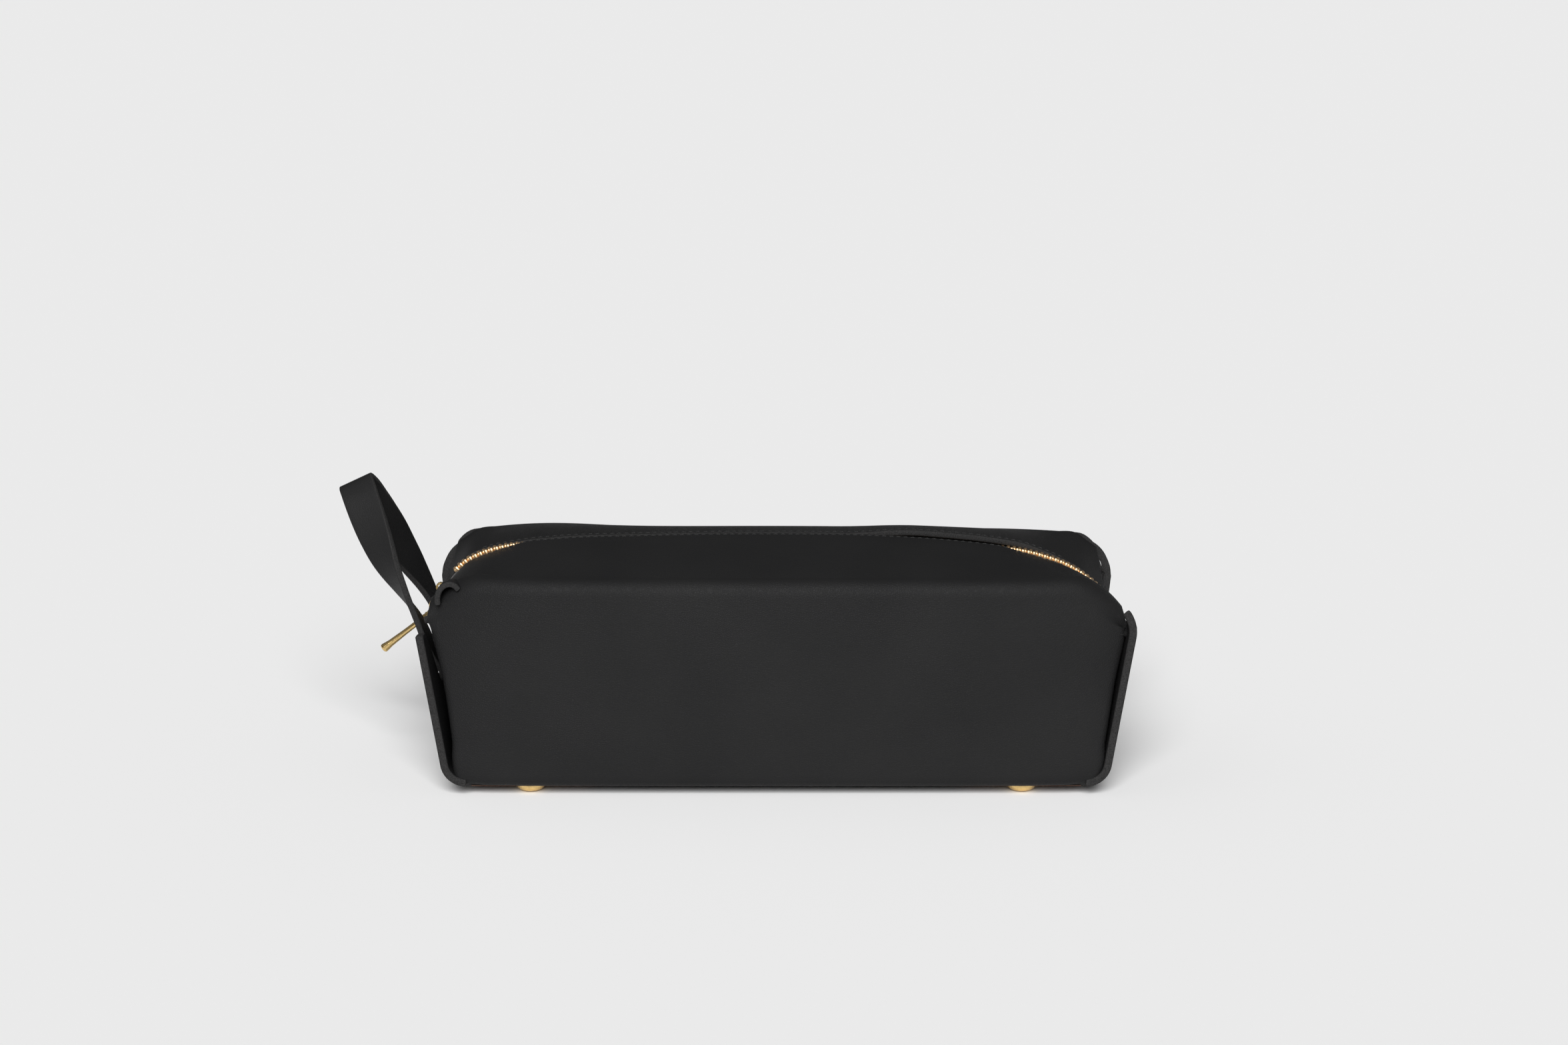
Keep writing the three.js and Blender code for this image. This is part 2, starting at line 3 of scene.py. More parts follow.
import bpy
import numpy as np
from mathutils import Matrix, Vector


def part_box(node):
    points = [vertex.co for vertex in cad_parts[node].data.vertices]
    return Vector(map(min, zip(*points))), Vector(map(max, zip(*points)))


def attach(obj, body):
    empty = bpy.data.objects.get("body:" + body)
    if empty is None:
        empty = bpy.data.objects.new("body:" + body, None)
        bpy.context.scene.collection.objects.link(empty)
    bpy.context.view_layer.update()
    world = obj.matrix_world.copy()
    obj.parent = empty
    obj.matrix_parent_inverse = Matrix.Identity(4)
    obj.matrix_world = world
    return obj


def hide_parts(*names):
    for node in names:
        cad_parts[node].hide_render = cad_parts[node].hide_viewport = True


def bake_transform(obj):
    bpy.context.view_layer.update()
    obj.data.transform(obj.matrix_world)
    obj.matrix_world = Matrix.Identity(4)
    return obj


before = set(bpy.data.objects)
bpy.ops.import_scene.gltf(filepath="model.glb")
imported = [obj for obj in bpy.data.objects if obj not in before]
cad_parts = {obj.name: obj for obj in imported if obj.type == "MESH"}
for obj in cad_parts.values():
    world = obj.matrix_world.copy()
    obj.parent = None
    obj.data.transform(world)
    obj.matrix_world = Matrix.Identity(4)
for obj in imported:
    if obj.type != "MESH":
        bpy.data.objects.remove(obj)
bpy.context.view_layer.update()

# Sizes are in millimetres from the middle of the leather bag. metres() turns them into the row frame.
# A value given for -1 and 1 is for the left and right end of the bag, or for its front and back.
FOOT_BOXES = [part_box(f"foot_front_{side}") for side in ("left", "right")]
MIDDLE_X = sum((low.x + high.x) / 2 for low, high in FOOT_BOXES) / 2
SIDES = (("left", -1), ("right", 1))
FACES = (("front", -1), ("back", 1))

# The section of the leather body, and the folds at its two ends.
LEATHER = 2.8
FLAP_LEATHER = 2.2
HALF_DEPTH = 46.5
UNDERSIDE = 3.6
EDGE_RADIUS = 3.4
SHOULDER_RADIUS = 5.0
SHOULDER_Z = {-1: 73.0, 1: 71.8}
TOP_SLOPE = math.radians(9)
CREASE_Y = 40.7
FOLD_RADIUS = 2.6
FOLD_ANGLE = math.radians(100)
LEAST_BEND = 0.001  # keeps the fold's radius finite where the leather lies flat

# Over height: half the length of the faces, what the left and right ends add to it, and what the back adds.
FACE_HALF = ((3.6, 107.2), (5.5, 110.0), (9, 113.0), (20, 114.3),
             (43, 117.2), (58, 120.0), (66, 121.2), (79, 119.4))
FACE_HALF_EXTRA = {
    -1: ((3.6, 0), (43, 0.2), (58, 0.9), (66, 0.9), (79, 0.4)),
    1: ((3.6, 0), (9, 1.3), (20, 1.9), (43, 2.4), (58, 2.8), (66, 2.9), (79, 0.9)),
}
BACK_HALF_EXTRA = ((3.6, 0), (58, 0), (66, -0.6), (72, -1.9), (79, -3.2))
# Over height: how long and how deep the faces' ends turn inwards, and how much is tucked in behind them.
TURN_LENGTH = ((3.6, 9), (20, 16), (50, 34), (70, 46))
TURN_DEPTH = ((3.6, 1.0), (20, 2.0), (50, 5.0), (66, 8.0), (77, 9.5))
TURN_POWER = 2.2
TUCK = ((3.6, 0.3), (11, 0.6), (20, 7), (48, 7), (57, 1.0), (63, 0.2), (79, 0.2))

# The faces bulge, the underside sags, and the back's shoulder is lifted round LIFT_X.
FACE_HEIGHT, BELLY, SAG = 74.0, 1.0, 0.4
LIFT, LIFT_X, LIFT_WIDTH, LIFT_FRONT_SHARE = 2.2, -90.0, 36.0, 0.15
# The top corners drop towards the ends, on the front and the back: from where, and how deep at CORNER_END.
CORNER_START = {-1: 102.0, 1: 112.5}
CORNER_DROP = {-1: 12.0, 1: 8.5}
CORNER_END = 121.4
LEFT_FRONT_SHARE = 0.8

# The edges of the two flaps along the zip: x and height.
LIP = ((-120.6, 47), (-121.7, 54), (-121.2, 60), (-118.6, 68.4), (-113, 74.7), (-105.5, 78.6), (-94, 81.4),
       (-78, 83.2), (-50, 84.2), (0, 84.9), (35, 84.3), (60, 82.8), (80, 80.5), (95, 77.6), (106, 73.4),
       (114.5, 67.4), (119.6, 61.6), (121.4, 55), (120.6, 47))
LIP_END = {-1: 120.8, 1: 119.8}
LIP_SPREAD = 0.97
FRONT_LIP_DROP = {-1: 1.5, 1: 1.3}
BACK_LIP_RAISE = 2.0
FLAP_CROWN = 1.6
# Half the gap between the two leather edges along the zip: x and gap.
LIP_GAP = ((-122, 2.6), (-108, 2.5), (-98, 0.7), (-92, 0.35), (40, 0.35),
           (84, 0.5), (92, 1.7), (108, 2.3), (122, 2.4))

# The end panels: a bend at the foot (x and z of its centre, radius), a lean, a dip and two horns.
PANEL_HALF = 46.0
PANEL_BEND = (109.2, 12.6, 9.0)
PANEL_LEAN = math.radians(9.1)
PANEL_TOP = 57.5
PANEL_HOLLOW = 0.8
PANEL_FACE_X, PANEL_FACE_Z = 118.1, 11.2
HORN_RADIUS = 13.0
HORN_WIDTH = 11.0
HORN_SWEEP = {
    ("left", -1): math.radians(4),
    ("left", 1): math.radians(76),
    ("right", -1): math.radians(50),
    ("right", 1): math.radians(70),
}
SCOOP_DEPTH, SCOOP_FLAT, SCOOP_SLOPE = 21.0, 26.0, 14.0

GUSSET_LEATHER = 1.2
GUSSET_LOW, GUSSET_HEIGHT = 8, 50
GUSSET_CLEARANCE = {-1: 3.6, 1: 0.7}

STRAP_WIDTH = 13.0
STRAP_THICKNESS = 2.2
STRAP_CLEARANCE = 0.5

# Places for teeth along each tape, 2.05 mm apart. Those at the two ends of the zip stay empty.
TEETH = 137
ZIP_MARGIN = 3
LOWEST_TOOTH_Z = 51
FIRST_TOOTH_X = -116.0
TAPE_START, TAPE_WIDTH, TAPE_THICKNESS = 0.5, 8.5, 0.6


# ---------- numbers ----------
def smooth(value):
    """0 below 0 and 1 above 1, with an even start and stop between."""
    t = np.clip(value, 0, 1)
    return t * t * (3 - 2 * t)


def ramp(value, start, width):
    """0 up to start and 1 from start + width on, smooth between."""
    return smooth((value - start) / width)


def table(points, key):
    """Smooth interpolation through (key, value) points."""
    k, v = np.array(points, float).T
    slope = np.gradient(v, k)
    i = np.clip(np.searchsorted(k, key, side="right") - 1, 0, len(k) - 2)
    h = k[i + 1] - k[i]
    t = np.clip((key - k[i]) / h, 0, 1)
    rise = t * t * (3 - 2 * t)
    ease_in = t * (1 - t) ** 2 * h * slope[i]
    ease_out = t * t * (t - 1) * h * slope[i + 1]
    return v[i] + (v[i + 1] - v[i]) * rise + ease_in + ease_out


def polyline_spline(points, t):
    """A smooth curve through points at t from 0 to 1, by chord length. points is (n, 3) or (n, 2)."""
    p = np.array(points, float)
    chord = np.concatenate([[0], np.cumsum(np.linalg.norm(np.diff(p, axis=0), axis=1))])
    chord /= chord[-1]
    at = np.asarray(t, float)
    return np.stack([table(np.column_stack([chord, p[:, i]]), at) for i in range(p.shape[1])], -1)


def metres(points):
    return np.asarray(points, float) / 1000 + np.array([MIDDLE_X, 0, 0])


def place(x, y, z):
    return Vector(metres((x, y, z)))


# ---------- meshes ----------
def mesh_object(name, vertices, faces, materials, face_slots=None, sharp_edges=()):
    data = bpy.data.meshes.new(name)
    data.from_pydata([tuple(p) for p in metres(vertices)], [], [tuple(f) for f in faces])
    for material in materials:
        data.materials.append(material)
    if face_slots is not None:
        data.polygons.foreach_set("material_index", np.asarray(face_slots, np.int32))
    data.polygons.foreach_set("use_smooth", np.ones(len(data.polygons), bool))
    if sharp_edges:
        wanted = {tuple(sorted(map(int, e))) for e in sharp_edges}
        for edge in data.edges:
            if tuple(sorted(edge.vertices)) in wanted:
                edge.use_edge_sharp = True
    data.update()
    made = bpy.data.objects.new(name, data)
    bpy.context.scene.collection.objects.link(made)
    return made


def facing_out(vertices, faces):
    """Flips the faces if the closed mesh is inside out."""
    p = np.asarray(vertices, float)
    triangles = ((f[0], f[i], f[i + 1]) for f in faces for i in range(1, len(f) - 1))
    volume = sum(float(np.dot(p[a], np.cross(p[b], p[c]))) for a, b, c in triangles)
    return faces if volume > 0 else [tuple(reversed(f)) for f in faces]


ROUNDING_STEPS = np.array([0.0, 0.08, 0.3, 0.65, 1.0])  # rows of points across a rounded edge
FAR = 1e3  # further than any point is from a cut edge
RAW_FROM = 0.45  # a face gets the cut edge's material where its corners are nearer to the edge than this


def edge_stations(count, length, cut_start, cut_end, rounding):
    """Steps from 0 to 1, with a few close together at the ends that are cut and rounded over."""
    close = ROUNDING_STEPS * rounding / length
    start = close if cut_start else np.array([0.0])
    end = 1 - close[::-1] if cut_end else np.array([1.0])
    middle = np.linspace(start[-1], end[0], count + 1)[1:-1]
    return np.concatenate([start, middle, end])


def grid_normals(points):
    """Unit normals of a grid of points, from its neighbours."""
    du = np.gradient(points, axis=0)
    dv = np.gradient(points, axis=1)
    normal = np.cross(du, dv)
    return normal / np.maximum(np.linalg.norm(normal, axis=-1, keepdims=True), 1e-9)


def leather_sheet(name, surface, lengths, counts, materials, thickness=LEATHER, cut="abcd", rounding=0.9,
                  side=1):
    """A sheet whose outer face is surface(u, v), for grids of u and v.

    cut names its raw edges, which are rounded over: a and b at the ends of u, c and d at the ends of v.
    lengths are the sheet's rough sizes, used to place the rounding. side is 1 or -1 and sets which way the
    thickness goes.
    """
    u = edge_stations(counts[0], lengths[0], "a" in cut, "b" in cut, rounding)
    v = edge_stations(counts[1], lengths[1], "c" in cut, "d" in cut, rounding)
    grid_u, grid_v = np.meshgrid(u, v, indexing="ij")
    outer = surface(grid_u, grid_v)
    normal = grid_normals(outer) * side
    size_u, size_v = lengths
    distances = (grid_u * size_u, (1 - grid_u) * size_u, grid_v * size_v, (1 - grid_v) * size_v)
    reach = np.full(grid_u.shape, FAR)
    for letter, distance in zip("abcd", distances):
        if letter in cut:
            reach = np.minimum(reach, distance)
    near = np.clip(1 - reach / rounding, 0, 1)
    drop = rounding * (1 - np.sqrt(np.clip(1 - near**2, 0, 1)))[..., None]
    faces_out = outer - normal * drop
    faces_in = outer - normal * (thickness - drop)
    n, m = grid_u.shape
    index = np.arange(n * m).reshape(n, m)
    vertices = np.concatenate([faces_out.reshape(-1, 3), faces_in.reshape(-1, 3)])
    faces, slots, sharp = [], [], []
    for i in range(n - 1):
        for j in range(m - 1):
            quad = (index[i, j], index[i + 1, j], index[i + 1, j + 1], index[i, j + 1])
            raw = 1 if near[i:i + 2, j:j + 2].mean() > RAW_FROM else 0
            faces.append(quad)
            faces.append(tuple(k + n * m for k in reversed(quad)))
            slots += [raw, raw]
    rim = [(index[i, 0], index[i + 1, 0]) for i in range(n - 1)]
    rim += [(index[n - 1, j], index[n - 1, j + 1]) for j in range(m - 1)]
    rim += [(index[i + 1, m - 1], index[i, m - 1]) for i in range(n - 2, -1, -1)]
    rim += [(index[0, j + 1], index[0, j]) for j in range(m - 2, -1, -1)]
    borders = zip("abcd", (index[0], index[-1], index[:, 0], index[:, -1]))
    uncut = {k for letter, border in borders if letter not in cut for k in border}
    for a, b in rim:
        faces.append((b, a, a + n * m, b + n * m))
        slots.append(1)
        if a in uncut and b in uncut:
            sharp += [(a, b), (a + n * m, b + n * m)]
    faces = facing_out(vertices, faces)
    return mesh_object(name, vertices, faces, materials, slots, sharp)


def revolved(name, profile, origin, axis, materials, segments=32):
    """A solid of revolution. profile is (radius, height), and starts and ends on the axis."""
    axis = np.array(axis, float) / np.linalg.norm(axis)
    helper = np.array([0, 1, 0]) if abs(axis[1]) < 0.9 else np.array([1, 0, 0])
    first = np.cross(axis, helper)
    first /= np.linalg.norm(first)
    second = np.cross(axis, first)
    turn = np.linspace(0, 2 * math.pi, segments, endpoint=False)
    ring = np.cos(turn)[:, None] * first + np.sin(turn)[:, None] * second
    inner = profile[1:-1]
    vertices = [np.array(origin) + axis * profile[0][1]]
    for radius, height in inner:
        vertices += list(np.array(origin) + axis * height + ring * radius)
    vertices.append(np.array(origin) + axis * profile[-1][1])
    faces = []
    for k in range(len(inner) - 1):
        for i in range(segments):
            a, b = 1 + k * segments + i, 1 + k * segments + (i + 1) % segments
            faces.append((a, b, b + segments, a + segments))
    last = 1 + (len(inner) - 1) * segments
    for i in range(segments):
        faces.append((0, 1 + (i + 1) % segments, 1 + i))
        faces.append((len(vertices) - 1, last + i, last + (i + 1) % segments))
    return mesh_object(name, vertices, facing_out(vertices, faces), materials)


def swept(path, radii, sides=12, closed=False, up=(0, 1, 0)):
    """Vertices and faces of a tube along a path. radii is one radius or one for each point."""
    p = np.asarray(path, float)
    tangent = np.roll(p, -1, 0) - np.roll(p, 1, 0) if closed else np.gradient(p, axis=0)
    tangent /= np.linalg.norm(tangent, axis=1, keepdims=True)
    across = np.cross(tangent, np.array(up, float))
    across /= np.maximum(np.linalg.norm(across, axis=1, keepdims=True), 1e-9)
    other = np.cross(across, tangent)
    turn = np.linspace(0, 2 * math.pi, sides, endpoint=False)
    cosine, sine = np.cos(turn)[:, None], np.sin(turn)[:, None]
    count = len(p)
    radii = np.broadcast_to(np.asarray(radii, float), (count,))
    rings = [p[i] + radii[i] * (cosine * across[i] + sine * other[i]) for i in range(count)]
    vertices = np.concatenate(rings)
    faces = []
    for k in range(count if closed else count - 1):
        for i in range(sides):
            a, b = k * sides + i, k * sides + (i + 1) % sides
            c, d = ((k + 1) % count) * sides + (i + 1) % sides, ((k + 1) % count) * sides + i
            faces.append((a, b, c, d))
    if not closed:
        faces.append(tuple(range(sides - 1, -1, -1)))
        faces.append(tuple((count - 1) * sides + i for i in range(sides)))
    return vertices, faces


def joined(parts):
    """One list of vertices and faces from several closed parts, each facing out."""
    vertices, faces = [], []
    for part_vertices, part_faces in parts:
        start = sum(len(v) for v in vertices)
        faces += [tuple(int(k) + start for k in f) for f in facing_out(part_vertices, part_faces)]
        vertices.append(np.asarray(part_vertices, float))
    return np.concatenate(vertices), faces


# ---------- materials ----------
def node_material(name):
    material = bpy.data.materials.new(name)
    material.use_nodes = True
    tree = material.node_tree
    return material, tree, tree.nodes["Principled BSDF"]


def add_node(tree, kind, **values):
    made = tree.nodes.new(kind)
    for key, value in values.items():
        if key in made.inputs:
            made.inputs[key].default_value = value
        else:
            setattr(made, key, value)
    return made


def object_coordinates(tree):
    """The piece's own coordinates, from one node shared by all textures of a material."""
    return (tree.nodes.get("Place") or add_node(tree, "ShaderNodeTexCoord", name="Place")).outputs["Object"]


def noise(tree, scale, detail=2.0, roughness=0.5):
    coordinates = object_coordinates(tree)
    made = add_node(tree, "ShaderNodeTexNoise", Scale=scale, Detail=detail, Roughness=roughness)
    tree.links.new(coordinates, made.inputs["Vector"])
    return made.outputs["Fac"]


def cells(tree, scale, randomness=1.0):
    coordinates = object_coordinates(tree)
    made = add_node(tree, "ShaderNodeTexVoronoi", Scale=scale, Randomness=randomness,
                    feature="DISTANCE_TO_EDGE")
    tree.links.new(coordinates, made.inputs["Vector"])
    return made.outputs["Distance"]


def remap(tree, source, low, high, to_low, to_high):
    made = add_node(tree, "ShaderNodeMapRange")
    for key, value in zip(("From Min", "From Max", "To Min", "To Max"), (low, high, to_low, to_high)):
        made.inputs[key].default_value = value
    tree.links.new(source, made.inputs["Value"])
    return made.outputs["Result"]


def colour_between(tree, factor, first, second):
    made = add_node(tree, "ShaderNodeMix", data_type="RGBA")
    made.inputs["A"].default_value = (*first, 1)
    made.inputs["B"].default_value = (*second, 1)
    tree.links.new(factor, made.inputs["Factor"])
    return made.outputs["Result"]


def combined(tree, a, b, operation="ADD"):
    """Two values added, or combined by another operation. b is a node's output or a number."""
    made = add_node(tree, "ShaderNodeMath", operation=operation)
    tree.links.new(a, made.inputs[0])
    if isinstance(b, float):
        made.inputs[1].default_value = b
    else:
        tree.links.new(b, made.inputs[1])
    return made.outputs[0]


def bump(tree, shader, height, distance, strength=1.0):
    made = add_node(tree, "ShaderNodeBump", Distance=distance, Strength=strength)
    tree.links.new(height, made.inputs["Height"])
    tree.links.new(made.outputs["Normal"], shader.inputs["Normal"])


def leather_material():
    """Matte black calfskin: pebbles of two thirds of a millimetre, pores and a faint cloudiness."""
    material, tree, shader = node_material("black_leather")
    pebbles = remap(tree, cells(tree, 1500), 0.0, 0.25, 0.0, 1.0)
    fine = noise(tree, 4200, 2)
    cloud = noise(tree, 26, 3)
    height = combined(tree, pebbles, combined(tree, fine, 0.55, "MULTIPLY"))
    patches = remap(tree, cloud, 0.3, 0.7, 0, 1)
    tone = colour_between(tree, patches, (0.0113, 0.0113, 0.0116), (0.0142, 0.0141, 0.0143))
    tree.links.new(tone, shader.inputs["Base Color"])
    tree.links.new(remap(tree, fine, 0.3, 0.7, 0.5, 0.62), shader.inputs["Roughness"])
    shader.inputs["Specular IOR Level"].default_value = 0.12
    bump(tree, shader, height, 0.00012, 0.55)
    return material


def raw_edge_material():
    """The cut edge of the leather: dyed, fibrous and duller than the grain side."""
    material, tree, shader = node_material("leather_cut_edge")
    fibres = noise(tree, 2600, 4, 0.65)
    strands = remap(tree, fibres, 0.35, 0.68, 0, 1)
    tone = colour_between(tree, strands, (0.012, 0.0117, 0.0117), (0.035, 0.0343, 0.0343))
    tree.links.new(tone, shader.inputs["Base Color"])
    shader.inputs["Roughness"].default_value = 0.85
    shader.inputs["Specular IOR Level"].default_value = 0.2
    bump(tree, shader, fibres, 0.0003, 0.7)
    return material


def base_edge_material():
    """The undyed brown edge of the bottom leather."""
    material, tree, shader = node_material("brown_base_edge")
    fibres = noise(tree, 1800, 3, 0.6)
    strands = remap(tree, fibres, 0.3, 0.7, 0, 1)
    tone = colour_between(tree, strands, (0.03, 0.012, 0.006), (0.09, 0.038, 0.018))
    tree.links.new(tone, shader.inputs["Base Color"])
    shader.inputs["Roughness"].default_value = 0.7
    bump(tree, shader, fibres, 0.0002, 0.6)
    return material


def gold_material(name, colour, roughness, streak=0.0):
    """Polished pale gold plating with fine wear that roughens it here and there."""
    material, tree, shader = node_material(name)
    wear = noise(tree, 700, 4, 0.6)
    darker = tuple(c * (0.8 - streak) for c in colour)
    tone = colour_between(tree, remap(tree, wear, 0.35, 0.7, 0, 1), darker, colour)
    tree.links.new(tone, shader.inputs["Base Color"])
    tree.links.new(remap(tree, wear, 0.3, 0.75, roughness + 0.12, roughness), shader.inputs["Roughness"])
    shader.inputs["Metallic"].default_value = 1.0
    bump(tree, shader, wear, 0.00008, 0.35)
    return material


def woven_material(name, dark, light, coarseness, roughness=0.9):
    """A fine diagonal twill. A higher coarseness makes its ribs wider."""
    material, tree, shader = node_material(name)
    coordinates = object_coordinates(tree)
    scale = 1000 / coarseness / 6.28
    weave = add_node(tree, "ShaderNodeTexWave", Scale=scale, Distortion=0.6, bands_direction="DIAGONAL")
    weave.inputs["Detail Scale"].default_value = 3.0
    tree.links.new(coordinates, weave.inputs["Vector"])
    fluff = noise(tree, 1400, 3)
    height = combined(tree, weave.outputs["Fac"], combined(tree, fluff, 0.6, "MULTIPLY"))
    tone = colour_between(tree, remap(tree, height, 0.2, 1.3, 0, 1), dark, light)
    tree.links.new(tone, shader.inputs["Base Color"])
    shader.inputs["Roughness"].default_value = roughness
    shader.inputs["Sheen Weight"].default_value = 0.15
    bump(tree, shader, height, 0.0001, 0.6)
    return material


def board_material():
    """Pressed brown board with lighter flecks."""
    material, tree, shader = node_material("pressed_fibreboard")
    flecks = noise(tree, 900, 4, 0.7)
    spots = remap(tree, flecks, 0.35, 0.65, 0, 1)
    tone = colour_between(tree, spots, (0.10, 0.07, 0.045), (0.22, 0.16, 0.10))
    tree.links.new(tone, shader.inputs["Base Color"])
    shader.inputs["Roughness"].default_value = 0.9
    bump(tree, shader, flecks, 0.0001, 0.5)
    return material


HIDE = leather_material()
RAW = raw_edge_material()
BROWN = base_edge_material()
GOLD = gold_material("pale_gold", (0.86, 0.62, 0.27), 0.16)
TOOTH_GOLD = gold_material("tooth_gold", (0.98, 0.68, 0.38), 0.34, 0.05)
TAPE = woven_material("zip_tape_weave", (0.006, 0.006, 0.006), (0.02, 0.02, 0.02), 0.5)
CLOTH = woven_material("lining_twill", (0.018, 0.017, 0.017), (0.05, 0.048, 0.047), 0.7)
THREAD = woven_material("black_thread", (0.004, 0.004, 0.004), (0.014, 0.014, 0.014), 0.2, 0.75)
BOARD = board_material()


# ---------- leather body ----------
def shoulder_rise(reach):
    """Height of the sloping top over the shoulder's centre at a distance from the middle of the bag."""
    arc_end = HALF_DEPTH - SHOULDER_RADIUS + SHOULDER_RADIUS * math.sin(TOP_SLOPE)
    return SHOULDER_RADIUS * math.cos(TOP_SLOPE) + (arc_end - reach) * math.tan(TOP_SLOPE)


def wrap_profile():
    """Points (y, z) round the body from the front crease to the back crease."""
    points = []
    end = math.pi / 2 + TOP_SLOPE
    low = UNDERSIDE + EDGE_RADIUS
    halfway = 0.5 * (CREASE_Y + HALF_DEPTH - SHOULDER_RADIUS)

    def arc(cy, cz, radius, start, stop, count=40):
        for angle in np.linspace(start, stop, count):
            points.append((cy + radius * math.cos(angle), cz + radius * math.sin(angle)))

    for reach in (CREASE_Y, halfway):
        points.append((-reach, SHOULDER_Z[-1] + shoulder_rise(reach)))
    arc(-HALF_DEPTH + SHOULDER_RADIUS, SHOULDER_Z[-1], SHOULDER_RADIUS, end, math.pi)
    arc(-HALF_DEPTH + EDGE_RADIUS, low, EDGE_RADIUS, math.pi, 1.5 * math.pi)
    arc(HALF_DEPTH - EDGE_RADIUS, low, EDGE_RADIUS, 1.5 * math.pi, 2 * math.pi)
    arc(HALF_DEPTH - SHOULDER_RADIUS, SHOULDER_Z[1], SHOULDER_RADIUS, 0, math.pi - end)
    for reach in (halfway, CREASE_Y):
        points.append((reach, SHOULDER_Z[1] + shoulder_rise(reach)))
    return np.array(points)


PROFILE = wrap_profile()
PROFILE_LENGTH = np.concatenate([[0], np.cumsum(np.linalg.norm(np.diff(PROFILE, axis=0), axis=1))])


def wrap_surface(u, v):
    """The body's outer face: u along the bag, v round it from the front crease to the back crease."""
    along = v * PROFILE_LENGTH[-1]
    y = np.interp(along, PROFILE_LENGTH, PROFILE[:, 0])
    z = np.interp(along, PROFILE_LENGTH, PROFILE[:, 1])
    face = np.where(y < 0, -1.0, 1.0)
    end_extra = np.where(u < 0.5, table(FACE_HALF_EXTRA[-1], z), table(FACE_HALF_EXTRA[1], z))
    half = table(FACE_HALF, z) + end_extra + np.where(y > 0, table(BACK_HALF_EXTRA, z), 0.0)

    # At each end the leather folds round FOLD_RADIUS and runs on as the tuck. It lies flat at top and bottom.
    tuck = table(TUCK, z)
    quarter = FOLD_RADIUS * math.pi / 2
    reach = (2 * u - 1) * (half - FOLD_RADIUS + quarter + tuck)
    a = np.abs(reach)
    straight = half - FOLD_RADIUS
    bend = FOLD_ANGLE * ramp(z, 4, 9) * (1 - ramp(z, 65, 9)) + LEAST_BEND
    radius = quarter / bend
    angle = np.clip((a - straight) / quarter, 0, 1) * bend
    tucked = np.clip(a - straight - quarter, 0, None)
    x = np.minimum(a, straight) + radius * np.sin(angle) + tucked * np.cos(bend)
    inward = radius * (1 - np.cos(angle)) + tucked * np.sin(bend)

    # Before the fold the faces already turn inwards, and they bulge between their ends.
    length = table(TURN_LENGTH, z)
    turned = np.clip((np.minimum(a, straight) - half + length) / length, 0, 1)
    inward = inward + table(TURN_DEPTH, z) * turned**TURN_POWER
    across = np.clip(np.abs(x) / half, 0, 1)
    upright = ramp(z, 4.5, 6)
    height = np.clip((z - UNDERSIDE) / FACE_HEIGHT, 0, 1)
    belly = BELLY * (1 - across**2) * np.sin(math.pi * height) * upright
    sag = SAG * (1 - across**4) * (1 - ramp(z, UNDERSIDE, 14))
    lifted = np.where(face > 0, 1.0, LIFT_FRONT_SHARE)
    lift = LIFT * np.exp(-(((reach - LIFT_X) / LIFT_WIDTH) ** 2)) * ramp(z, 60, 16) * lifted
    x = np.sign(reach) * x
    return np.stack([x, y - face * (inward - belly), z - sag + lift - corner_drop(x, z, face)], -1)


def corner_drop(x, z, face):
    """How far the leather near the crease has sunk at x, on the front (-1) or the back (1)."""
    start = np.where(face < 0, CORNER_START[-1], CORNER_START[1])
    front_drop = np.where(x < 0, LEFT_FRONT_SHARE, 1.0) * CORNER_DROP[-1]
    deepest = np.where(face < 0, front_drop, CORNER_DROP[1])
    return deepest * np.clip((np.abs(x) - start) / (CORNER_END - start), 0, 1.1) ** 2.0 * ramp(z, 58, 16)


def body_leather():
    lengths = 240, PROFILE_LENGTH[-1]
    made = leather_sheet("body_leather", wrap_surface, lengths, (170, 190), [HIDE, RAW], cut="ab", side=-1)
    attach(made, "bag_body")
    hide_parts("body_wrap")


# ---------- top flaps ----------
def rows_of(control, u):
    """Points on smooth curves through control, an array (points on a curve, curves, 3), at u from 0 to 1."""
    count = len(control)
    t = u * (count - 1)
    i = np.clip(np.floor(t).astype(int), 0, count - 2)
    f = (t - i)[:, None, None]
    before, after = control[np.clip(i - 1, 0, count - 1)], control[np.clip(i + 2, 0, count - 1)]
    p, q = control[i], control[i + 1]
    square = (2 * before - 5 * p + 4 * q - after) * f**2
    cube = (3 * p - before - 3 * q + after) * f**3
    return 0.5 * (2 * p + (q - before) * f + square + cube)


def lip_gap(x):
    k, v = np.array(LIP_GAP, float).T
    return np.interp(x, k, v)


